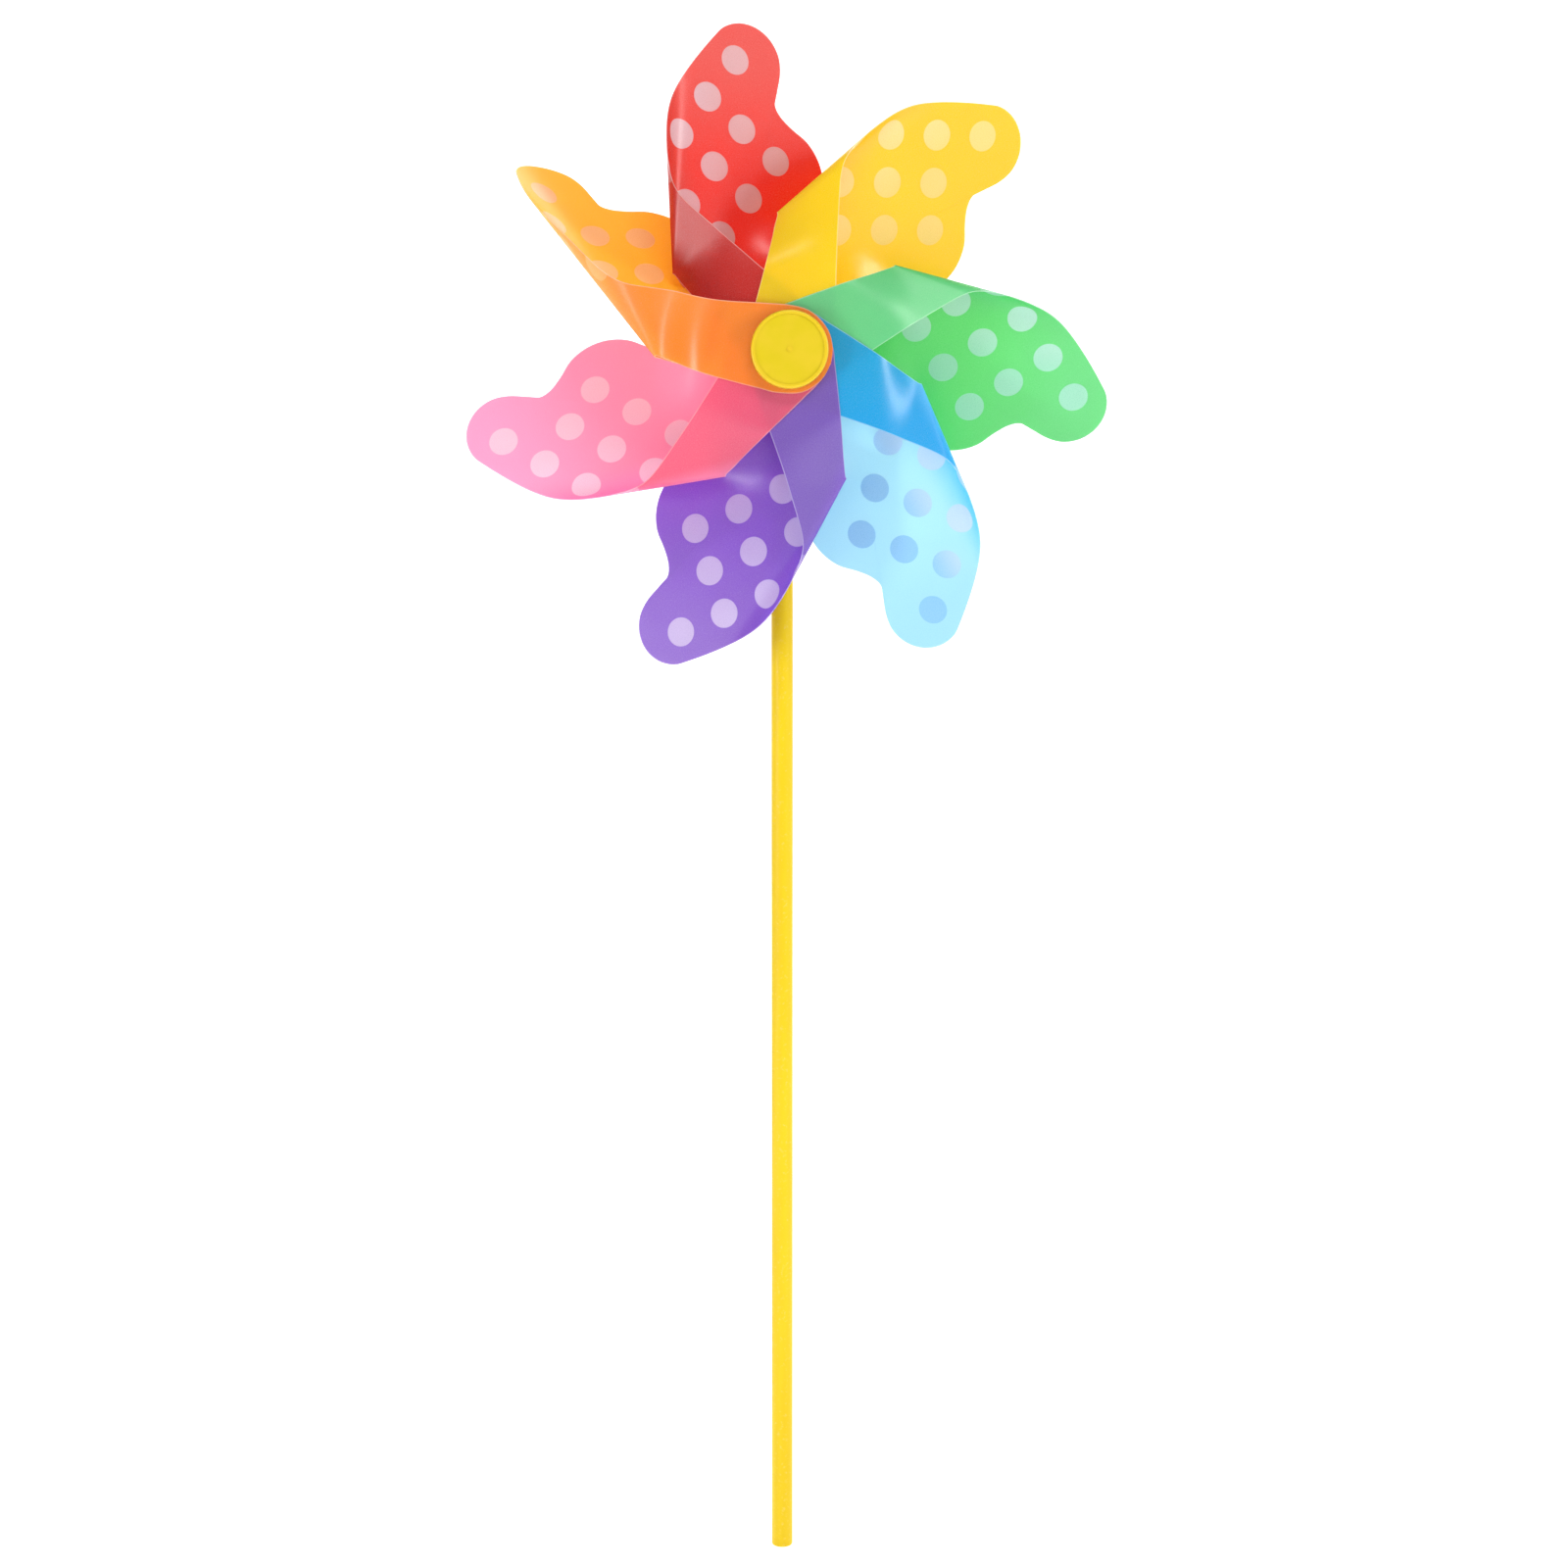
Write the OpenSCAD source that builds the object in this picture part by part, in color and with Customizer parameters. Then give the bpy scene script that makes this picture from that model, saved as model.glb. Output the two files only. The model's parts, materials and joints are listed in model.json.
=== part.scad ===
// Seven-vane pinwheel on a round stick. The stick stands along +Z with its foot at the origin.
// The wheel faces -Y and turns about a steel pin held in the head of the stick.

/* [Stick] */
// Outer diameter of the stick tube, in mm
stem_d = 8; // [7:0.5:9]
// Wall thickness of the stick tube, in mm
stem_wall = 0.8; // [0.6:0.1:1]
// Height of the wheel's centre above the foot, in mm
hub_height = 452; // [300:1:600]

/* [Hub] */
// Distance from the stick's centre line forward to the middle of the hub, in mm
hub_reach = 45; // [45:1:50]
// Distance along the hub from a vane's root eye to its tip eye, in mm
hub_depth = 22; // [21:0.5:24]
// Diameter of the steel axle, in mm
axle_d = 3; // [2.5:0.5:3]
// Diameter of the round front cap, in mm
cap_d = 26.6; // [26:0.2:28]

/* [Vanes] */
// Diameter of the circle that the lobes of the vanes reach, in mm
wheel_d = 242; // [238:1:246]
// Thickness of the plastic sheet, in mm
sheet = 0.3; // [0.2:0.05:0.35]

/* [Hidden] */
$fn = 64;

// One row for each vane, clockwise from the top as seen from the front: colour, small turn away
// from the even pitch, half-angle of the cone that the curl follows, turn of the curl from its
// middle to a flat panel, how far the curl stands forward of the middle of the hub, and the swing
// and pitch that set it askew. The last vane is squeezed in between its neighbours, so it is.
VANES = [
  ["red", "#f03c28", -2.5, 12, 67, 0, 0, 0],
  ["yellow", "#fdd81e", -2.2, 12, 67, 0, 0, 0],
  ["green", "#64e473", 1.8, 12, 67, 0, 0, 0],
  ["blue", "#7fdcfa", 2, 12, 67, 0, 0, 0],
  ["purple", "#8c5ac8", 2.4, 12, 67, 0, 0, 0],
  ["pink", "#ff82a0", 3.4, 12, 67, 0, 0, 0],
  ["orange", "#ffa03c", 16.5, 22.5, 90.7, 6.5, 28, -5.9],
];
pitch = 360 / len(VANES);
layer = 0.4;                       // step from one sheet to the next in the two stacks
stack = len(VANES) * layer;        // height of a stack of seven eyes
outline = wheel_d / 262;           // the vane's outline is drawn for a wheel of 262
root_r = 9 * outline;              // radius of the eye at the root
tip_r = 16.3 * outline;            // radius of the round tip
eye_hole_r = 3.8;                  // hole in each eye, clear of the hub's post
root_level = hub_reach - hub_depth / 2;
tip_level = hub_reach + hub_depth / 2;

// Distances from the hub where a vane leaves the flat stack and where it follows its curl freely
root_rise = [30, 53] * outline;
tip_rise = [30, 53] * outline;
tip_spread = [16, 53] * outline;   // the same, across the axle
rows = 8;                          // facets across a vane

// Stick
bore_r = stem_d / 2 - stem_wall;
head_r = stem_d / 2 + 1;
head_drop = 36;                    // from the wheel's centre down to the end of the tube
head_rise = 9;                     // and up to the top of the head
tube_top = hub_height - head_drop;
head_top = hub_height + head_rise;
spigot = 20;                       // length of the head inside the tube
spigot_gap = 0.05;
boss_half = head_r + 1;
boss_r = 4.5;
foot_lip = 1.4;                    // rim of the foot plug that shows below the tube
foot_round = 0.5;
plug_depth = 10;

// Axle and hub, as distances forward from the stick's centre line
axle_r = axle_d / 2;
running_gap = 0.05;
end_gap = 0.3;
flange_t = 2;
flange_r = 8;
post_r = 3.5;
post_proud = 2.1;                  // how far the post stands into the cap
flange_front = root_level - stack / 2;
flange_back = flange_front - flange_t;
spacer_back = root_level + stack / 2;
spacer_front = tip_level - stack / 2;
cap_back = tip_level + stack / 2;
post_front = cap_back + post_proud;
pin_head_r = 2.6;
pin_head_t = 0.8;
push_cap_t = 5;
push_cap_r = 4;
push_cap_floor = 1.5;

// Cap
cap_r = cap_d / 2;
cap_t = 4.6;
cap_wall = 1.2;
cap_round = 0.7;
cap_dish = 0.3;                    // depth of the flat face below the rim
cap_point_r = 0.9;                 // raised point in the middle of the face
cap_boss_r = 5.5;
cap_floor = 2;                     // behind the flat face, round the boss

// Outline of the flat sheet, as ribs across it from the tip eye to the root eye. Each rib joins a
// point of the outer edge to a point of the inner edge. The root eye is at [0, 0].
function polar(centre, r, angle) = centre + r * [cos(angle), sin(angle)];
function eye_rib(centre, r, axis, half) = [
  polar(centre, r, axis - half),
  polar(centre, r, axis + half)
];
tip_eye = [-85.8, 0] * outline;
corner = [-42.9, 31.2] * outline;
TIP_RIBS = [for (half = [10, 35, 65]) eye_rib(tip_eye, tip_r, 230, half)];
ROOT_RIBS = [for (half = [135, 95, 55, 25, 10]) eye_rib([0, 0], root_r, 270, -half)];
FLAP_RIBS = [
  [[-98, 11], [-71.9, -8.6]],
  [[-90, 19.5], [-68.2, -3.2]],
  [[-81, 28.5], [-64.2, 2.7]],
  [[-72, 38], [-60.3, 8.5]],
  [[-63, 47.7], [-56.4, 14.2]],
  [[-56, 55], [-52.5, 20]],
];
CURL_RIBS = [
  [[-52, 59.5], [-49.1, 25]],
  [[-49, 64], [-46.7, 28.5]],
  [[-46.8, 68.7], [-45, 31.1]],
  [[-44.9, 73.7], [-43.8, 32.8]],
  [[-43, 79.5], [-42.9, 33.2]],
  [[-40.8, 86], [-42, 32.8]],
  [[-38, 92.5], [-41, 31.3]],
  [[-34, 99.2], [-39.5, 28.9]],
  [[-28, 106.6], [-37, 26]],
  [[-20, 115], [-33, 23.5]],
];
LOBE_RIBS = [
  for (i = [0:6])
    [polar([0.3, 112.9], 15.4, 140 - 26 * i), [-29 + 1.4 * i, 21.5 - 0.35 * i]]
];
NOTCH_RIBS = [
  [[12.5, 101.2], [-19.2, 19.1]],
  [[10.9, 96.6], [-18, 18.9]],
  [[12.6, 92], [-17, 18.7]],
];
SHOULDER_RIBS = [
  for (i = [0:5])
    [polar([5, 68.3], 22.3, 58 - 21 * i), [-16 + 0.9 * i, 18.5 - 0.2 * i]]
];
NECK_RIBS = [
  [[14, 44.8], [-10.5, 17.2]],
  [[10, 38.2], [-9.4, 16.6]],
  [[7.5, 31], [-8.2, 15.6]],
  [[6.6, 22], [-7.1, 13.5]],
  [[6.6, 13], [-6.6, 10]],
];
PANEL_RIBS = concat(LOBE_RIBS, NOTCH_RIBS, SHOULDER_RIBS, NECK_RIBS);
RIBS = concat(TIP_RIBS, outline * FLAP_RIBS, outline * CURL_RIBS, outline * PANEL_RIBS, ROOT_RIBS);

// The curl is part of a cone with its point at the inner corner. The root panel and the tip flap
// are flat and leave the cone along a ruling, so the sheet isn't stretched. Near the hub both
// level out into the stacks of eyes.
function turned(v, axis, angle) =
  v * cos(angle) + cross(axis, v) * sin(angle) + axis * (axis * v) * (1 - cos(angle));
function smooth(x, span) =
  let (s = min(1, max(0, (x - span[0]) / (span[1] - span[0]))))
  s * s * (3 - 2 * s);
function ruling(away, cone, turn) =
  let (
    axis = [sin(cone), cos(cone), 0],
    edge = turn * sin(cone),
    past = away - edge
  )
  past < 0
    ? turned([0, 1, 0], axis, -away / sin(cone))
    : turned([0, 1, 0], axis, -turn) * cos(past) + turned([0, 0, -1], axis, -turn) * sin(past);

// A free point of a vane, turned about the middle of the hub and moved forward with the vane
function askew(v, row) =
  turned(turned(v, [0, 1, 0], row[6]), [1, 0, 0], row[7]) + [0, 0, hub_reach + row[5]];

// Where a point of the flat sheet lies once the vane is curled: x is the clockwise side of the
// vane, y runs outward and z is forward from the stick's centre line.
function curled(p, row, level) =
  let (
    cone = row[3],
    turn = row[4],
    root_angle = atan2(-corner[0], -corner[1]),
    point = -norm(corner) * ruling(root_angle, cone, turn),
    ray = p - corner,
    angle = atan2(ray[0], ray[1]),
    is_root = angle > 0,
    line = norm(ray) * ruling(abs(angle), cone, turn),
    height = is_root ? line[2] : -line[2],
    free = askew([point[0] + line[0], point[1] + line[1], height], row),
    bend = askew([point[0], point[1], 0], row),
    flat = is_root ? p : [tip_eye[0] - p[0], p[1]],
    lean = atan2(bend[1], bend[0]) - atan2(corner[1], corner[0]),
    pinned = [
      flat[0] * cos(lean) - flat[1] * sin(lean),
      flat[0] * sin(lean) + flat[1] * cos(lean),
      (is_root ? root_level : tip_level) + level
    ],
    rise = smooth(norm(flat), is_root ? root_rise : tip_rise),
    spread = smooth(norm(flat), is_root ? root_rise : tip_spread),
    part = [spread, spread, rise]
  )
  [for (i = [0:2]) pinned[i] * (1 - part[i]) + free[i] * part[i]];

// Unit normal of the curled sheet, from three nearby points
function sheet_normal(p, row, level) =
  let (
    here = curled(p, row, level),
    right = curled(p + [0.01, 0], row, level) - here,
    up = curled(p + [0, 0.01], row, level) - here,
    n = cross(right, up)
  )
  n / norm(n);

module curled_sheet(row, level) {
  n = len(RIBS);
  m = rows + 1;
  flat = [for (rib = RIBS, j = [0:rows]) rib[0] + (rib[1] - rib[0]) * j / rows];
  mid = [for (p = flat) curled(p, row, level)];
  out = [for (p = flat) sheet_normal(p, row, level) * sheet / 2];
  front = [for (i = [0:len(mid) - 1]) mid[i] + out[i]];
  back = [for (i = [0:len(mid) - 1]) mid[i] - out[i]];
  half = n * m;
  skin = [
    for (i = [0:n - 2], j = [0:rows - 1])
      let (a = i * m + j, b = a + m)
      each [[a, b, b + 1], [a, b + 1, a + 1]]
  ];
  rim = concat(
    [for (i = [0:n - 2]) i * m],
    [for (j = [0:rows - 1]) (n - 1) * m + j],
    [for (i = [n - 1:-1:1]) i * m + rows],
    [for (j = [rows:-1:1]) j]
  );
  wall = [
    for (i = [0:len(rim) - 1])
      let (a = rim[i], b = rim[(i + 1) % len(rim)])
      each [[a, a + half, b + half], [a, b + half, b]]
  ];
  faces = concat(skin, [for (f = skin) [f[0] + half, f[2] + half, f[1] + half]], wall);
  polyhedron(concat(front, back), faces);
}

// Places its children in the wheel's frame: x to the right, y up, z forward along the axle
module on_axle() {
  translate([0, 0, hub_height])
    rotate([90, 0, 0])
      children();
}

module ring(r, hole, from, to) {
  translate([0, 0, from])
    difference() {
      cylinder(r = r, h = to - from);
      translate([0, 0, -1])
        cylinder(r = hole, h = to - from + 2);
    }
}

module rod(r, from, to) {
  translate([0, 0, from])
    cylinder(r = r, h = to - from);
}

module vane(i) {
  row = VANES[i];
  level = (i - (len(VANES) - 1) / 2) * layer;
  color(row[1])
    on_axle()
      rotate([0, 0, -i * pitch - row[2]])
        difference() {
          curled_sheet(row, level);
          for (eye = [root_level, tip_level])
            translate([0, 0, eye - stack])
              cylinder(r = eye_hole_r, h = 2 * stack, $fn = 12);
        }
}

module stem_tube() {
  color("gold")
    ring(stem_d / 2, bore_r, foot_lip, tube_top);
}

// Moulded head of the stick: a spigot in the tube, and a cross boss that grips the axle
module stem_head() {
  dome = head_r * 0.6;
  color("gold")
    difference() {
      union() {
        rod(bore_r - spigot_gap, tube_top - spigot, tube_top + 1);
        rotate_extrude()
          intersection() {
            union() {
              translate([0, tube_top])
                square([head_r, head_top - dome - tube_top]);
              translate([0, head_top - dome])
                circle(r = head_r);
            }
            translate([0, tube_top])
              square([head_r, head_top - tube_top]);
          }
        on_axle()
          rod(boss_r, -boss_half, boss_half);
      }
      on_axle()
        rod(axle_r, -boss_half - 1, boss_half + 1);
    }
}

// Plug that closes the foot, with a rounded rim as wide as the tube
module stem_foot_plug() {
  color("gold")
    rotate_extrude() {
      square([bore_r, plug_depth]);
      square([stem_d / 2 - foot_round, foot_lip]);
      translate([0, foot_round])
        square([stem_d / 2, foot_lip - foot_round]);
      translate([stem_d / 2 - foot_round, foot_round])
        circle(r = foot_round);
    }
}

module axle_pin() {
  color("silver")
    on_axle() {
      rod(axle_r, push_cap_floor - push_cap_t - boss_half, post_front + running_gap + pin_head_t);
      rod(pin_head_r, post_front + running_gap, post_front + running_gap + pin_head_t);
    }
}

module axle_push_cap() {
  color("gold")
    on_axle()
      difference() {
        rod(push_cap_r, -boss_half - push_cap_t, -boss_half);
        rod(axle_r, push_cap_floor - push_cap_t - boss_half, -boss_half + 1);
      }
}

module rear_spacer() {
  color("gold")
    on_axle()
      ring(post_r, axle_r + running_gap, boss_half, flange_back - end_gap);
}

module rotor_hub() {
  color("gold")
    on_axle() {
      ring(flange_r, axle_r + running_gap, flange_back, flange_front);
      ring(post_r, axle_r + running_gap, flange_back, post_front);
    }
}

// Bobbin on the post that keeps the stack of roots and the stack of tips apart
module vane_spacer() {
  bobbin_r = 7;
  bobbin_t = 1;
  sleeve_r = 5.5;
  hole = post_r + running_gap;
  color("gold")
    on_axle() {
      ring(bobbin_r, hole, spacer_back, spacer_back + bobbin_t);
      ring(sleeve_r, hole, spacer_back, spacer_front);
      ring(bobbin_r, hole, spacer_front - bobbin_t, spacer_front);
    }
}

module front_cap() {
  head_room = post_front + running_gap + pin_head_t + end_gap - cap_back;
  color("#f0d719")
    on_axle()
      translate([0, 0, cap_back])
        rotate_extrude()
          difference() {
            union() {
              square([cap_r, cap_t - cap_round]);
              square([cap_r - cap_round, cap_t]);
              translate([cap_r - cap_round, cap_t - cap_round])
                circle(r = cap_round);
            }
            translate([cap_boss_r, -1])
              square([cap_r - cap_wall - cap_boss_r, cap_t - cap_floor + 1]);
            translate([0, -1])
              square([post_r, head_room + 1]);
            translate([cap_point_r, cap_t - cap_dish])
              square([cap_r - 2 * cap_round - cap_point_r, 1]);
          }
}

stem_tube();
stem_head();
stem_foot_plug();
axle_pin();
axle_push_cap();
rear_spacer();
rotor_hub();
vane_spacer();
vane(0);  // vane_red
vane(1);  // vane_yellow
vane(2);  // vane_green
vane(3);  // vane_blue
vane(4);  // vane_purple
vane(5);  // vane_pink
vane(6);  // vane_orange
front_cap();
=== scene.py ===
"""Seven-vane pinwheel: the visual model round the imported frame, with its floor, lights and camera.

The moulded parts are the CAD's own, with new materials. The vanes are built again here, finer and with
a map of the flat sheet, so that the print and the frosting follow the film round its curl. Everything is
in metres, apart from the flat sheet, which is drawn in mm for a wheel of 262 mm.
"""
import json

from math import atan2, cos, pi, radians, sin

import bmesh
import bpy
from mathutils import Matrix, Vector


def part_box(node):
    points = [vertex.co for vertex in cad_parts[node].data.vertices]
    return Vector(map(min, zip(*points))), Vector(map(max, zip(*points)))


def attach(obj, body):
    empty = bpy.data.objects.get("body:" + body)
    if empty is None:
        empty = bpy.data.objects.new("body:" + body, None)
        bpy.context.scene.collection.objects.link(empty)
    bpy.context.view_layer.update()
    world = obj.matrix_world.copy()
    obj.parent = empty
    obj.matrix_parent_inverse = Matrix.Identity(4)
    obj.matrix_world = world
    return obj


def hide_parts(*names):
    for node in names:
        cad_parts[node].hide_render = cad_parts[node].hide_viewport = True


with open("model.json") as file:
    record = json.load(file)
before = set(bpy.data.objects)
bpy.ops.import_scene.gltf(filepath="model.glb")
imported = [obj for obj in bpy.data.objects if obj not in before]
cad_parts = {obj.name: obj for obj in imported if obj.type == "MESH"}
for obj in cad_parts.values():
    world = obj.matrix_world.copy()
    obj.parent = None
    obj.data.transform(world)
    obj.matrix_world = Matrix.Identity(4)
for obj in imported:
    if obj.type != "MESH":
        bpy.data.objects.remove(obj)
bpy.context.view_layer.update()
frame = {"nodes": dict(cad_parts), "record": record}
nodes = frame["nodes"]

MM = 0.001

# ------------------------------------------------------------------ sizes shared with the CAD

spin = next(j for j in frame["record"]["behaviour"]["joints"] if j["name"] == "rotor_spin")
HUB = Vector(spin["pos_m"])
CAP_LOW, CAP_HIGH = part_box("front_cap")
CAP_R = (CAP_HIGH[0] - CAP_LOW[0]) / 2
CAP_FACE_Y = CAP_LOW[1]
HUB_DEPTH = 22 * MM             # from a root eye to a tip eye, along the axle
OUTLINE = 242 / 262 * MM        # metres for one mm of the flat sheet's drawing
SHEET = 0.3 * MM                # thickness of the film
LAYER = 0.4 * MM                # step between sheets in the stacks

# ------------------------------------------------------------------ the flat sheet

ROOT_EYE = Vector((0, 0))
TIP_EYE = Vector((-85.8, 0))
CORNER = Vector((-42.9, 31.2))  # where the straight lines of the curled sheet meet
ROOT_R = 9
TIP_R = 16.3
EYE_HOLE_R = 3.8 * MM


def polar(centre, r, degrees):
    return centre + r * Vector((cos(radians(degrees)), sin(radians(degrees))))


def eye_rib(centre, r, axis, half):
    """Rib across a round end of the sheet, from one side of its axis to the other."""
    return polar(centre, r, axis - half), polar(centre, r, axis + half)


# Outer point and inner point of each rib across the sheet, from the tip flap to the root
FLAP_RIBS = [
    ((-98, 11), (-71.9, -8.6)), ((-90, 19.5), (-68.2, -3.2)), ((-81, 28.5), (-64.2, 2.7)),
    ((-72, 38), (-60.3, 8.5)), ((-63, 47.7), (-56.4, 14.2)), ((-56, 55), (-52.5, 20)),
]
CURL_RIBS = [
    ((-52, 59.5), (-49.1, 25)), ((-49, 64), (-46.7, 28.5)), ((-46.8, 68.7), (-45, 31.1)),
    ((-44.9, 73.7), (-43.8, 32.8)), ((-43, 79.5), (-42.9, 33.2)), ((-40.8, 86), (-42, 32.8)),
    ((-38, 92.5), (-41, 31.3)), ((-34, 99.2), (-39.5, 28.9)), ((-28, 106.6), (-37, 26)),
    ((-20, 115), (-33, 23.5)),
]
LOBE_RIBS = [
    (polar(Vector((0.3, 112.9)), 15.4, 140 - 26 * i), (-29 + 1.4 * i, 21.5 - 0.35 * i))
    for i in range(7)
]
NOTCH_RIBS = [
    ((12.5, 101.2), (-19.2, 19.1)), ((10.9, 96.6), (-18, 18.9)), ((12.6, 92), (-17, 18.7)),
]
SHOULDER_RIBS = [
    (polar(Vector((5, 68.3)), 22.3, 58 - 21 * i), (-16 + 0.9 * i, 18.5 - 0.2 * i))
    for i in range(6)
]
NECK_RIBS = [
    ((14, 44.8), (-10.5, 17.2)), ((10, 38.2), (-9.4, 16.6)), ((7.5, 31), (-8.2, 15.6)),
    ((6.6, 22), (-7.1, 13.5)), ((6.6, 13), (-6.6, 10)),
]
DRAWN_RIBS = FLAP_RIBS + CURL_RIBS + LOBE_RIBS + NOTCH_RIBS + SHOULDER_RIBS + NECK_RIBS
RIBS = (
    [eye_rib(TIP_EYE, TIP_R, 230, half) for half in (10, 35, 65)]
    + [(Vector(a), Vector(b)) for a, b in DRAWN_RIBS]
    + [eye_rib(ROOT_EYE, ROOT_R, 270, -half) for half in (135, 95, 55, 25, 10)]
)
ROWS = 20                       # facets across a vane
FINE = 4                        # facets between two ribs

# Printed dots: three rows that slant across the panel, the first one starting in the lobe
DOT_R = 5.7
DOT_LOBE = Vector((-3.5, 114))
DOT_ALONG = Vector((-1, -1)).normalized() * 19.8
DOT_ACROSS = Vector((1, -1)).normalized() * 17.8
DOTS = [
    DOT_LOBE + DOT_ALONG * j + DOT_ACROSS * row
    for row in range(3)
    for j in range(0 if row == 0 else 1, 4)
]

# ------------------------------------------------------------------ the curl

# Half-angle of the cone that the curl follows, turn from its middle to a flat panel, how far it
# stands forward of the middle of the hub, and the swing and pitch that set it askew
REGULAR = (12, 67, 0, 0, 0)
SQUEEZED = (22.5, 90.7, 6.5 * MM, 28, -5.9)

# Name, small turn away from the even pitch, and curl of each vane, clockwise from the top
VANES = [
    ("red", -2.5, REGULAR), ("yellow", -2.2, REGULAR), ("green", 1.8, REGULAR), ("blue", 2, REGULAR),
    ("purple", 2.4, REGULAR), ("pink", 3.4, REGULAR), ("orange", 16.5, SQUEEZED),
]
PITCH = 360 / len(VANES)

# Distances from the hub where a vane leaves the flat stack and where it follows its curl freely
ROOT_RISE = (30, 53)
TIP_RISE = (30, 53)
TIP_SPREAD = (16, 53)           # the same, across the axle


def turned(v, axis, angle):
    return Matrix.Rotation(angle, 3, axis) @ v


def smooth(x, span):
    """0 before the span and 1 after it, with no corner at either end."""
    s = min(1, max(0, (x - span[0]) / (span[1] - span[0])))
    return s * s * (3 - 2 * s)


def ruling(away, cone, turn):
    """Direction of the sheet's straight line at this angle from the middle of the curl."""
    axis = Vector((sin(cone), cos(cone), 0))
    past = away - turn * sin(cone)
    if past < 0:
        return turned(Vector((0, 1, 0)), axis, -away / sin(cone))
    along = turned(Vector((0, 1, 0)), axis, -turn)
    aside = turned(Vector((0, 0, -1)), axis, -turn)
    return along * cos(past) + aside * sin(past)


def curled(p, cone, turn, lift, askew, level):
    """Where a point of the flat sheet lies: x clockwise, y outward and z forward of the hub's middle."""
    point = -CORNER.length * ruling(atan2(-CORNER.x, -CORNER.y), cone, turn)
    ray = p - CORNER
    angle = atan2(ray.x, ray.y)
    is_root = angle > 0
    line = ray.length * ruling(abs(angle), cone, turn)
    height = line.z if is_root else -line.z
    free = askew @ Vector((point.x + line.x, point.y + line.y, height)) * OUTLINE
    free.z += lift
    bend = askew @ Vector((point.x, point.y, 0))
    flat = p if is_root else Vector((TIP_EYE.x - p.x, p.y))
    lean = atan2(bend.y, bend.x) - atan2(CORNER.y, CORNER.x)
    pinned = Vector((
        (flat.x * cos(lean) - flat.y * sin(lean)) * OUTLINE,
        (flat.x * sin(lean) + flat.y * cos(lean)) * OUTLINE,
        (-HUB_DEPTH if is_root else HUB_DEPTH) / 2 + level,
    ))
    rise = smooth(flat.length, ROOT_RISE if is_root else TIP_RISE)
    spread = smooth(flat.length, ROOT_RISE if is_root else TIP_SPREAD)
    at = pinned.lerp(free, spread)
    at.z = pinned.z + (free.z - pinned.z) * rise
    return at


def sheet_normal(p, shape):
    step = 0.01
    here = curled(p, *shape)
    right = curled(p + Vector((step, 0)), *shape) - here
    up = curled(p + Vector((0, step)), *shape) - here
    return right.cross(up).normalized()


def fair(points, steps):
    """Smooth curve through the points."""
    out = []
    last = len(points) - 1
    for i in range(last):
        p0, p1, p2, p3 = (points[min(last, max(0, k))] for k in (i - 1, i, i + 1, i + 2))
        for s in range(steps):
            t = s / steps
            out.append(
                0.5 * (2 * p1 + (p2 - p0) * t + (2 * p0 - 5 * p1 + 4 * p2 - p3) * t * t
                       + (3 * p1 - p0 - 3 * p2 + p3) * t ** 3)
            )
    return out + [points[last]]


def wheel_matrix(azimuth):
    """From the vane's x clockwise, y outward and z forward to the frame's axes."""
    a = radians(azimuth)
    clockwise = Vector((cos(a), 0, -sin(a)))
    outward = Vector((sin(a), 0, cos(a)))
    forward = Vector((0, -1, 0))
    turn = Matrix((clockwise, outward, forward)).transposed().to_4x4()
    return Matrix.Translation(HUB) @ turn


# ------------------------------------------------------------------ the vanes

def linked(name, data):
    ob = bpy.data.objects.new(name, data)
    bpy.context.collection.objects.link(ob)
    return ob


def finished_mesh(bm, name):
    mesh = bpy.data.meshes.new(name)
    bm.to_mesh(mesh)
    bm.free()
    return mesh


def sheet_edge(columns):
    """Numbers of the grid's points in order round its edge."""
    m = ROWS + 1
    return (
        [c * m for c in range(columns)]
        + [(columns - 1) * m + j for j in range(1, m)]
        + [c * m + ROWS for c in range(columns - 2, -1, -1)]
        + [j for j in range(ROWS - 1, 0, -1)]
    )


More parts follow.
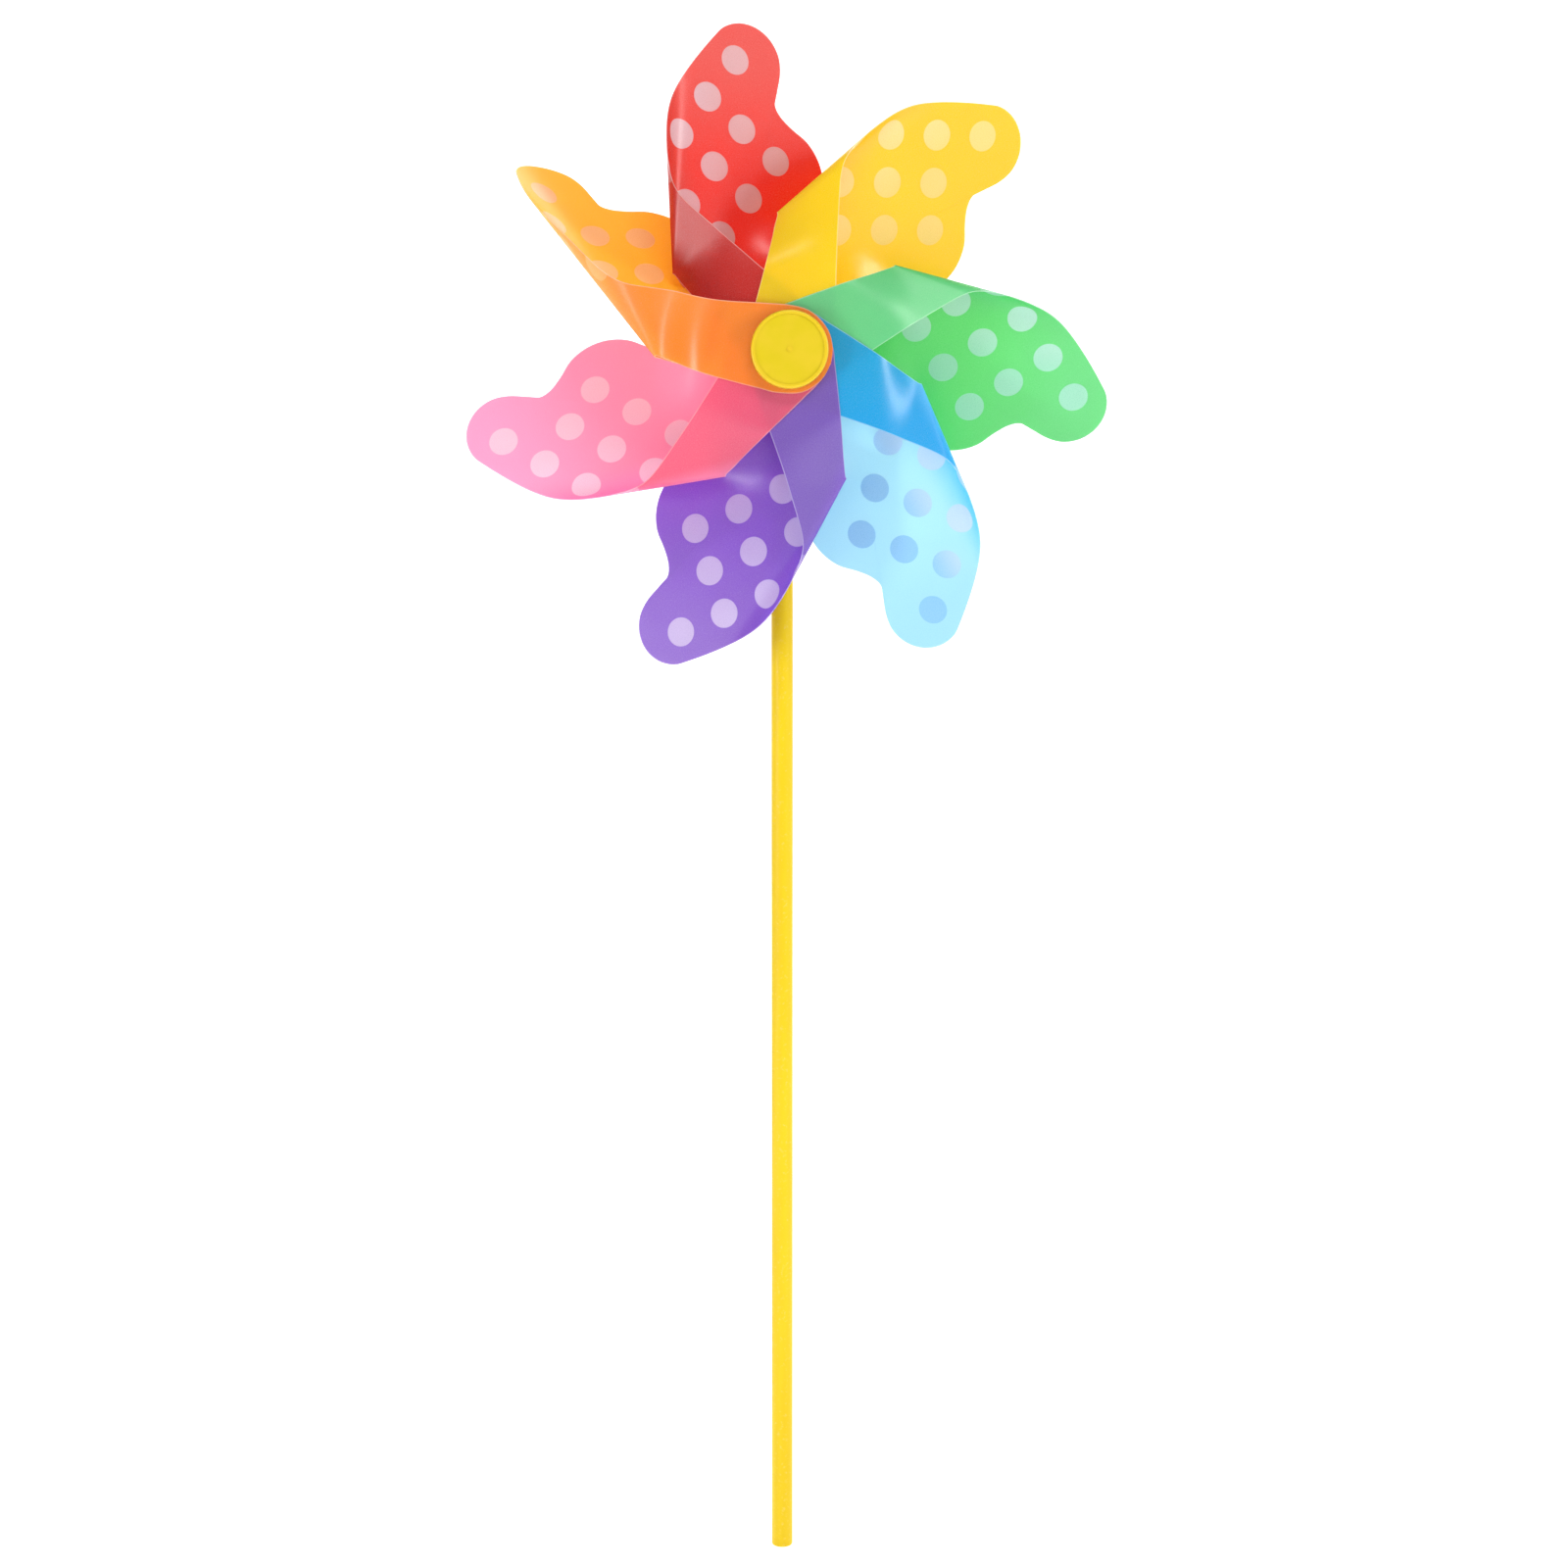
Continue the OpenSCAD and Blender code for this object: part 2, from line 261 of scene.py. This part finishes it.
def build_vane(i, name, nudge, curl):
    """The curled sheet, as a grid on each side and an edge. The map "flat" holds the place on the
    flat sheet, and "rim" holds the distance from the long edges, with 1 on the printed side."""
    cone, turn, lift, swing, pitch = curl
    askew = Matrix.Rotation(radians(pitch), 3, "X") @ Matrix.Rotation(radians(swing), 3, "Y")
    level = (i - len(VANES) // 2) * LAYER
    shape = (radians(cone), radians(turn), lift, askew, level)
    outer = fair([r[0] for r in RIBS], FINE)
    inner = fair([r[1] for r in RIBS], FINE)
    place = wheel_matrix(i * PITCH + nudge)
    bm = bmesh.new()
    flat_uv = bm.loops.layers.uv.new("flat")
    rim_uv = bm.loops.layers.uv.new("rim")
    flat, rim, sides = [], [], ([], [])
    for a, b in zip(outer, inner):
        width = (b - a).length
        for j in range(ROWS + 1):
            t = j / ROWS
            p = a.lerp(b, t)
            flat.append(p)
            rim.append(min(t, 1 - t) * width)
            at, out = curled(p, *shape), sheet_normal(p, shape) * SHEET / 2
            sides[0].append(bm.verts.new(place @ (at + out)))
            sides[1].append(bm.verts.new(place @ (at - out)))
    bm.verts.index_update()

    def face(verts, printed):
        f = bm.faces.new(verts)
        f.smooth = True
        for loop in f.loops:
            k = loop.vert.index // 2
            loop[flat_uv].uv = flat[k]
            loop[rim_uv].uv = (rim[k], printed)
        return f

    columns = len(outer)
    for c in range(columns - 1):
        for j in range(ROWS):
            a = c * (ROWS + 1) + j
            b = a + ROWS + 1
            face([sides[0][k] for k in (a, a + 1, b + 1, b)], 1)
            face([sides[1][k] for k in (a, b, b + 1, a + 1)], 0)
    edge = sheet_edge(columns)
    for a, b in zip(edge, edge[1:] + edge[:1]):
        f = face([sides[0][a], sides[0][b], sides[1][b], sides[1][a]], 0)
        for e in f.edges:
            on_one_side = e.verts[0].index % 2 == e.verts[1].index % 2
            if on_one_side:
                e.smooth = False
    bmesh.ops.recalc_face_normals(bm, faces=bm.faces)
    vane = linked(f"sheet_{name}", finished_mesh(bm, f"sheet_{name}"))
    punch_eyes(vane)
    return vane


def punch_eyes(vane):
    """Cuts the round holes at the root and the tip, where the hub's post goes through."""
    bm = bmesh.new()
    bmesh.ops.create_cone(
        bm, cap_ends=True, segments=32, radius1=EYE_HOLE_R, radius2=EYE_HOLE_R, depth=2 * HUB_DEPTH,
        matrix=Matrix.Translation(HUB) @ Matrix.Rotation(pi / 2, 4, "X"),
    )
    punch = linked("punch", finished_mesh(bm, "punch"))
    cut = vane.modifiers.new("eyes", "BOOLEAN")
    cut.operation = "DIFFERENCE"
    cut.solver = "EXACT"
    cut.object = punch
    graph = bpy.context.evaluated_depsgraph_get()
    done = bpy.data.meshes.new_from_object(vane.evaluated_get(graph))
    vane.modifiers.clear()
    vane.data = done
    bpy.data.objects.remove(punch)


# ------------------------------------------------------------------ node trees

WHITE = (1.0, 1.0, 1.0, 1.0)
PLASTIC_IOR = 1.5


class Nodes:
    """Short calls for building one material's node tree."""

    def __init__(self, name):
        self.material = bpy.data.materials.new(name)
        self.material.use_nodes = True
        self.tree = self.material.node_tree
        self.tree.nodes.clear()

    def add(self, kind, **settings):
        node = self.tree.nodes.new(kind)
        for key, value in settings.items():
            setattr(node, key, value)
        return node

    def feed(self, socket, value):
        """Links the socket to another node's output, or sets its value."""
        if isinstance(value, bpy.types.NodeSocket):
            self.tree.links.new(value, socket)
        else:
            socket.default_value = value

    def object_coordinates(self):
        return self.add("ShaderNodeTexCoord").outputs["Object"]

    def uv(self, name):
        return self.add("ShaderNodeUVMap", uv_map=name).outputs["UV"]

    def scaled(self, vector, scale):
        node = self.add("ShaderNodeMapping")
        self.feed(node.inputs["Vector"], vector)
        node.inputs["Scale"].default_value = scale
        return node.outputs[0]

    def parts(self, vector):
        """The vector's x, y and z."""
        node = self.add("ShaderNodeSeparateXYZ")
        self.feed(node.inputs[0], vector)
        return node.outputs

    def distance(self, vector, point):
        node = self.add("ShaderNodeVectorMath", operation="DISTANCE")
        self.feed(node.inputs[0], vector)
        node.inputs[1].default_value = point
        return node.outputs["Value"]

    def math(self, operation, a, b=0.0, c=0.0):
        node = self.add("ShaderNodeMath", operation=operation)
        for socket, value in zip(node.inputs, (a, b, c)):
            self.feed(socket, value)
        return node.outputs[0]

    def ramp(self, value, low, high, to_low=0.0, to_high=1.0):
        """to_low where the value is at low, to_high where it is at high, and smooth between."""
        node = self.add("ShaderNodeMapRange", interpolation_type="SMOOTHSTEP")
        for key, item in zip(("Value", "From Min", "From Max", "To Min", "To Max"),
                             (value, low, high, to_low, to_high)):
            self.feed(node.inputs[key], item)
        return node.outputs[0]

    def noise(self, vector, scale, detail, roughness):
        node = self.add("ShaderNodeTexNoise")
        self.feed(node.inputs["Vector"], vector)
        node.inputs["Scale"].default_value = scale
        node.inputs["Detail"].default_value = detail
        node.inputs["Roughness"].default_value = roughness
        return node.outputs["Fac"]

    def mix(self, factor, a, b):
        node = self.add("ShaderNodeMix", data_type="RGBA")
        self.feed(node.inputs["Factor"], factor)
        self.feed(node.inputs[6], a)
        self.feed(node.inputs[7], b)
        return node.outputs[2]

    def bump(self, height, strength, distance):
        node = self.add("ShaderNodeBump")
        node.inputs["Strength"].default_value = strength
        node.inputs["Distance"].default_value = distance
        self.feed(node.inputs["Height"], height)
        return node.outputs["Normal"]

    def shader(self, kind, **inputs):
        node = self.add(kind)
        for key, value in inputs.items():
            self.feed(node.inputs[key.replace("_", " ")], value)
        return node.outputs[0]

    def principled(self, **inputs):
        return self.shader("ShaderNodeBsdfPrincipled", **inputs)

    def mix_shaders(self, factor, a, b):
        node = self.add("ShaderNodeMixShader")
        for socket, value in zip(node.inputs, (factor, a, b)):
            self.feed(socket, value)
        return node.outputs[0]

    def output(self, shader):
        node = self.add("ShaderNodeOutputMaterial")
        self.tree.links.new(shader, node.inputs["Surface"])
        return self.material


def srgb(*rgb):
    """Linear colour from 0-255 screen values."""
    def one(v):
        v /= 255
        return v / 12.92 if v <= 0.04045 else ((v + 0.055) / 1.055) ** 2.4
    return (*[one(v) for v in rgb], 1.0)


# ------------------------------------------------------------------ film

# Screen colours of each film: lobe, centre, fold and flap, then ink near the fold and far from it. The
# four film colours hold painted light and shade: the lobe is painted paler where more light comes
# through it, and the fold and flap are painted deeper where overlapping sheets shade them and paler
# where gloss falls on them.
FILMS = {
    "red": (
        (230, 106, 98), (236, 50, 28), (222, 76, 62), (210, 52, 46),
        (214, 192, 200), (214, 180, 184),
    ),
    "yellow": (
        (246, 208, 20), (248, 214, 0), (244, 214, 44), (248, 228, 22),
        (236, 214, 148), (236, 208, 128),
    ),
    "green": (
        (126, 220, 148), (112, 222, 128), (112, 217, 138), (134, 226, 166),
        (184, 218, 210), (160, 214, 194),
    ),
    "blue": (
        (180, 224, 240), (194, 236, 248), (124, 216, 250), (42, 190, 236),
        (198, 214, 244), (132, 192, 232),
    ),
    "purple": (
        (158, 114, 209), (152, 96, 210), (158, 114, 218), (150, 114, 206),
        (206, 192, 226), (198, 182, 218),
    ),
    "pink": (
        (248, 186, 216), (255, 176, 204), (252, 164, 210), (242, 114, 150),
        (246, 220, 236), (246, 214, 228),
    ),
    "orange": (
        (252, 210, 84), (255, 204, 60), (254, 186, 70), (255, 168, 58),
        (252, 214, 168), (250, 200, 150),
    ),
}
GLOW = 0.5                      # share of the light that the film passes on and scatters
CLEAR = 0.14                    # share that goes straight through
INK_HOLDS = 0.5                 # part of both that the ink holds back

# Where the film's print, its painted light and shade and its painted edge highlight change, in mm on the
# flat sheet, each from its start to its end
INK_EDGE = (-0.05, 0.3)         # from full ink to none, past a dot's radius
INK_FADE = (110, 55)            # from full ink to fainter ink, outward from the hub
LOBE_TOP = 118                  # outward from the hub, where the lobe begins
LOBE_TO_CENTRE = (5, 62)        # inward from the lobe's top
PANEL_TO_FOLD = (17, 1)         # clockwise of the corner, like the next two
FOLD_TO_FLAP = (2, -8)
NEAR_TO_FAR_INK = (14, 34)
EDGE_HIGHLIGHT = (0.5, 0.1)           # painted highlight along the cut edges, inward from the long edges

# Noise patterns of the film: scale for one mm, detail and roughness
GRAIN = (1.7, 3.0, 0.7)
CLOUD = (0.05, 3.0, 0.5)
FROST = (2.6, 3.0, 0.75)
ROLL_WAVES = (0.05, 2.0, 0.5)


def ink_cover(n, flat, outward, grain, printed_side):
    """How much ink lies on the film: ragged at a dot's edge, speckled, and fainter from the back."""
    nearest = n.distance(flat, (*DOTS[0], 0))
    for dot in DOTS[1:]:
        nearest = n.math("MINIMUM", nearest, n.distance(flat, (*dot, 0)))
    ragged = n.math("MULTIPLY_ADD", grain, 0.3, nearest)
    dots = n.math("SUBTRACT", 1.0, n.ramp(ragged, *[DOT_R + past for past in INK_EDGE]))
    speckled = n.ramp(grain, 0.25, 0.75, 0.86, 0.98)
    cover = n.math("MULTIPLY", speckled, n.ramp(printed_side, 0, 1, 0.4, 1))
    cover = n.math("MULTIPLY", cover, n.ramp(outward, *INK_FADE, 1.0, 0.82))
    return n.math("MULTIPLY", dots, cover)


def film_colour(n, flat, outward, clockwise, grain, colours):
    """Colour of the bare film, with painted light and shade: painted paler in the lobe, painted deeper
    at the fold, and past it the reverse, the flap, with its own painted shade and gloss.
    """
    lobe, centre, fold, flap = colours
    drift = n.noise(flat, *CLOUD)
    inward = n.math("MULTIPLY_ADD", drift, 14.0, n.math("SUBTRACT", LOBE_TOP, outward))
    # Painted light and shade by region: paler lobe, deeper fold, then the flap's painted shade and gloss
    colour = n.mix(n.ramp(inward, *LOBE_TO_CENTRE), lobe, centre)
    colour = n.mix(n.ramp(clockwise, *PANEL_TO_FOLD), colour, fold)
    colour = n.mix(n.ramp(clockwise, *FOLD_TO_FLAP), colour, flap)
    speckle = n.ramp(grain, 0.52, 0.74, 0.0, 0.09)
    return n.mix(speckle, colour, WHITE)


def sheet_material(name, lobe, centre, fold, flap, ink, ink_far):
    """Frosted translucent film: lobe, centre and fold are colours of the printed side, flap is the
    reverse that the curl turns to the front; these colours hold painted light and shade, and the ink's
    change from fold to far edge is painted light from behind."""
    n = Nodes(f"film_{name}")
    flat = n.uv("flat")
    x, outward, _ = n.parts(flat)
    from_edge, printed_side, _ = n.parts(n.uv("rim"))
    clockwise = n.math("SUBTRACT", x, CORNER.x)
    grain = n.noise(flat, *GRAIN)
    dots = ink_cover(n, flat, outward, grain, printed_side)
    colour = film_colour(n, flat, outward, clockwise, grain, (lobe, centre, fold, flap))
    # Ink colour shifts from the fold to the far edge: painted light from behind
    colour = n.mix(dots, colour, n.mix(n.ramp(clockwise, *NEAR_TO_FAR_INK), ink, ink_far))
    # Painted highlight: white mixed in along the cut edges
    colour = n.mix(n.ramp(from_edge, *EDGE_HIGHLIGHT, 0.0, 0.4), colour, WHITE)

    # Fine frosted texture with shallow waves from the roll
    frost = n.noise(flat, *FROST)
    height = n.math("MULTIPLY_ADD", n.noise(flat, *ROLL_WAVES), 5.0, frost)
    normal = n.bump(height, 0.5, 0.05 * MM)
    rough = n.ramp(frost, 0.3, 0.7, 0.24, 0.36)

    face = n.principled(
        Base_Color=colour, Roughness=rough, Normal=normal, IOR=PLASTIC_IOR, Specular_IOR_Level=1.0,
    )
    scattered = n.shader("ShaderNodeBsdfTranslucent", Color=colour)
    straight = n.shader("ShaderNodeBsdfTransparent", Color=colour)
    glow = n.math("MULTIPLY_ADD", dots, -GLOW * INK_HOLDS, GLOW)
    clear = n.math("MULTIPLY_ADD", dots, -CLEAR * INK_HOLDS, CLEAR)
    return n.output(n.mix_shaders(clear, n.mix_shaders(glow, face, scattered), straight))


# ------------------------------------------------------------------ other materials

def moulded_plastic(name, colour, shade, roughness, flow_axis=2):
    """Moulded plastic: slow colour drift, flow marks along one axis, fine orange-peel."""
    n = Nodes(name)
    at = n.object_coordinates()
    across_flow, along_flow = 130.0, 8.0
    scale = [across_flow] * 3
    scale[flow_axis] = along_flow
    flow = n.noise(n.scaled(at, scale), 1.0, 3.0, 0.55)
    peel = n.noise(at, 900.0, 2.0, 0.5)
    tone = n.mix(n.ramp(flow, 0.3, 0.7), colour, shade)
    tone = n.mix(n.ramp(peel, 0.55, 0.8, 0.0, 0.06), tone, WHITE)
    normal = n.bump(n.math("MULTIPLY_ADD", flow, 0.6, peel), 0.1, 0.04 * MM)
    rough = n.ramp(flow, 0.25, 0.75, roughness - 0.05, roughness + 0.06)
    return n.output(n.principled(
        Base_Color=tone, Roughness=rough, Normal=normal, IOR=PLASTIC_IOR, Specular_IOR_Level=0.25,
        Subsurface_Weight=0.08, Subsurface_Radius=(0.6, 0.5, 0.2), Subsurface_Scale=2 * MM,
    ))


def cap_material(name, face, rim):
    """Moulded cap: satin flat face, glossier on the raised rim and the point, with a painted highlight
    that makes them paler.
    """
    n = Nodes(name)
    at = n.object_coordinates()
    x, _, z = n.parts(at)
    across = n.math("SUBTRACT", x, HUB.x)
    above = n.math("SUBTRACT", z, HUB.z)
    squares = n.math("ADD", n.math("MULTIPLY", across, across), n.math("MULTIPLY", above, above))
    from_axis = n.math("SQRT", squares)
    # Masks for the painted highlight on the rim and, weaker, on the point; the gloss follows them too
    on_rim = n.ramp(from_axis, CAP_R - 1.7 * MM, CAP_R - 1.0 * MM)
    on_point = n.ramp(from_axis, 1.3 * MM, 0.7 * MM)
    rim_and_point_highlight = n.math("MAXIMUM", on_rim, n.math("MULTIPLY", on_point, 0.6))
    drift = n.noise(at, 140.0, 3.0, 0.5)
    tone = n.mix(n.ramp(drift, 0.3, 0.7, 0.0, 0.5), face, rim)
    tone = n.mix(n.math("MULTIPLY", rim_and_point_highlight, 0.85), tone, rim)
    normal = n.bump(n.noise(at, 2600.0, 2.0, 0.6), 0.12, 0.03 * MM)
    satin = n.ramp(drift, 0.25, 0.75, 0.4, 0.5)
    rough = n.math("SUBTRACT", satin, n.math("MULTIPLY", rim_and_point_highlight, 0.14))
    return n.output(n.principled(
        Base_Color=tone, Roughness=rough, Normal=normal, IOR=PLASTIC_IOR, Specular_IOR_Level=0.3,
    ))


def drawn_steel(name):
    """Bright wire with fine drawing lines along it and slightly dull patches."""
    n = Nodes(name)
    at = n.object_coordinates()
    across_wire, along_wire = 6000.0, 90.0
    bright, dull = (0.62, 0.62, 0.64, 1.0), (0.46, 0.45, 0.44, 1.0)
    lines = n.noise(n.scaled(at, (across_wire, along_wire, across_wire)), 1.0, 4.0, 0.6)
    stain = n.noise(at, 350.0, 3.0, 0.5)
    tone = n.mix(n.ramp(stain, 0.35, 0.75), bright, dull)
    rough = n.ramp(lines, 0.25, 0.75, 0.2, 0.42)
    normal = n.bump(lines, 0.25, 0.02 * MM)
    return n.output(n.principled(Base_Color=tone, Metallic=1.0, Roughness=rough, Normal=normal))


def floor_material():
    """Pale paper that glows a little, so that the studio has no dark side."""
    n = Nodes("studio_floor")
    mottle = n.noise(n.object_coordinates(), 3.0, 3.0, 0.5)
    tone = n.mix(n.ramp(mottle, 0.3, 0.7), (0.9, 0.9, 0.9, 1.0), (0.93, 0.93, 0.93, 1.0))
    return n.output(n.principled(
        Base_Color=tone, Roughness=0.85, Emission_Color=WHITE, Emission_Strength=0.62,
    ))


# ------------------------------------------------------------------ the wheel and the stick

def dress(ob, material):
    """Makes this the object's only material."""
    ob.data.materials.clear()
    ob.data.materials.append(material)


for i, (name, nudge, curl) in enumerate(VANES):
    piece = build_vane(i, name, nudge, curl)
    dress(piece, sheet_material(name, *[srgb(*c) for c in FILMS[name]]))
    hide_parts(f"vane_{name}")
    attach(piece, "rotor")

STICK_YELLOW = moulded_plastic("stick_yellow", srgb(222, 190, 8), srgb(214, 180, 4), 0.42)
HUB_YELLOW = moulded_plastic("hub_yellow", srgb(250, 218, 24), srgb(244, 206, 16), 0.4, flow_axis=1)
# The cap's second colour serves its random drift and its painted rim highlight
CAP_YELLOW = cap_material("cap_yellow", srgb(198, 176, 4), srgb(210, 180, 30))
STEEL = drawn_steel("drawn_steel")
for node in ("stem_tube", "stem_head", "stem_foot_plug", "axle_push_cap"):
    dress(nodes[node], STICK_YELLOW)
for node in ("rear_spacer", "rotor_hub", "vane_spacer"):
    dress(nodes[node], HUB_YELLOW)
dress(nodes["front_cap"], CAP_YELLOW)
dress(nodes["axle_pin"], STEEL)

# ------------------------------------------------------------------ floor, lights and camera

# Name, place from the hub, size and power of each area light. All of them face the hub.
LIGHTS = [
    ("left", (-1.35, -0.85, -0.35), (0.16, 0.7), 14),
    ("right", (1.5, -0.65, 0.35), (0.2, 0.7), 12),
    ("top", (0.25, -0.95, 1.1), (0.8, 0.2), 9),
    ("back", (0.3, 1.3, 0.7), (1.6, 1.6), 8),
]
WORLD_STRENGTH = 0.4

# The camera stands a little left of the front and above the hub, and its line of sight passes
# below the cap
CAMERA_AZIMUTH = -2.5
CAMERA_ELEVATION = 6.05
CAMERA_DISTANCE = 0.803         # to the cap's front, along the line of sight
CAP_RIGHT_OF_SIGHT = 0.0020075
CAP_ABOVE_SIGHT = 0.148555
SENSOR_MM = 36
LENS_MM = 54


def build_floor():
    """A pale floor that runs back into a curved wall."""
    reach, front, back, top, bend, steps = 6.0, -4.0, 3.0, 5.0, 1.2, 24
    profile = [(front, 0.0), (back - bend, 0.0)]
    profile += [
        (back - bend + bend * sin(a), bend - bend * cos(a))
        for a in (pi / 2 * k / steps for k in range(1, steps + 1))
    ]
    profile.append((back, top))
    verts = [(x, y, z) for y, z in profile for x in (-reach, reach)]
    faces = [(2 * k, 2 * k + 1, 2 * k + 3, 2 * k + 2) for k in range(len(profile) - 1)]
    mesh = bpy.data.meshes.new("studio_floor")
    mesh.from_pydata(verts, [], faces)
    mesh.polygons.foreach_set("use_smooth", [True] * len(faces))
    floor = linked("studio_floor", mesh)
    dress(floor, floor_material())


def build_world():
    world = bpy.data.worlds.new("studio")
    world.use_nodes = True
    background = world.node_tree.nodes["Background"]
    background.inputs["Color"].default_value = WHITE
    background.inputs["Strength"].default_value = WORLD_STRENGTH
    bpy.context.scene.world = world


def area_light(name, from_hub, size, watts):
    data = bpy.data.lights.new(name, "AREA")
    data.shape = "RECTANGLE"
    data.size, data.size_y = size
    data.energy = watts
    light = linked(name, data)
    light.location = HUB + Vector(from_hub)
    light.rotation_euler = (-Vector(from_hub)).to_track_quat("-Z", "Y").to_euler()


def build_camera():
    azimuth, elevation = radians(CAMERA_AZIMUTH), radians(CAMERA_ELEVATION)
    cap = Vector((HUB.x, CAP_FACE_Y, HUB.z))
    back = Vector((sin(azimuth) * cos(elevation), -cos(azimuth) * cos(elevation), sin(elevation)))
    right = Vector((cos(azimuth), sin(azimuth), 0))
    up = back.cross(right)
    data = bpy.data.cameras.new("camera")
    data.sensor_width = SENSOR_MM
    data.lens = LENS_MM
    camera = linked("camera", data)
    aim = cap - right * CAP_RIGHT_OF_SIGHT - up * CAP_ABOVE_SIGHT
    camera.location = aim + back * CAMERA_DISTANCE
    camera.rotation_euler = (-back).to_track_quat("-Z", "Y").to_euler()
    bpy.context.scene.camera = camera


build_floor()
build_world()
for light in LIGHTS:
    area_light(*light)
build_camera()
bpy.context.scene.view_settings.view_transform = "Standard"
